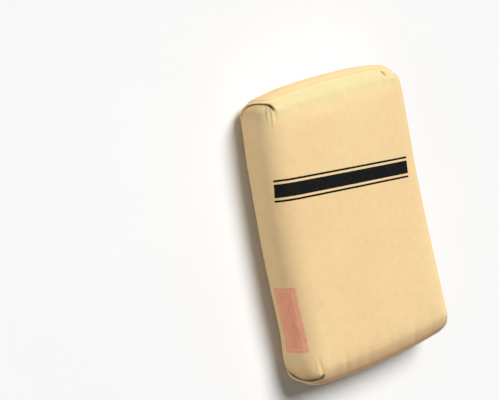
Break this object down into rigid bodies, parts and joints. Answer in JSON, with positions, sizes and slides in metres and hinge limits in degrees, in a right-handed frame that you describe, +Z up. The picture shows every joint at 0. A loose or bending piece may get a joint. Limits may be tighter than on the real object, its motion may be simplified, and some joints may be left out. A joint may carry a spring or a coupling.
{
  "type": "cement bag",
  "caption": "Filled kraft paper valve sack of cement with pasted block ends, lying flat on its back with its printed face up.",
  "frame": {"origin": "under the middle of the bag's outline, on the surface that it lies on", "axes": "+Z up through the printed face, Y along the bag's length with the valve at the +Y end, X across its width"},
  "size_m": [0.4524, 0.6712, 0.124],
  "materials": {
    "kraft_paper": "matte",
    "patch_paper": "matte",
    "sleeve_paper": "matte",
    "cement_powder": "matte"
  },
  "bodies": {
    "root": {"kraft_sack": "kraft_paper", "cement_fill": "cement_powder", "end_patch_far": "patch_paper", "end_patch_near": "patch_paper", "valve_sleeve": "sleeve_paper"}
  },
  "joints": []
}
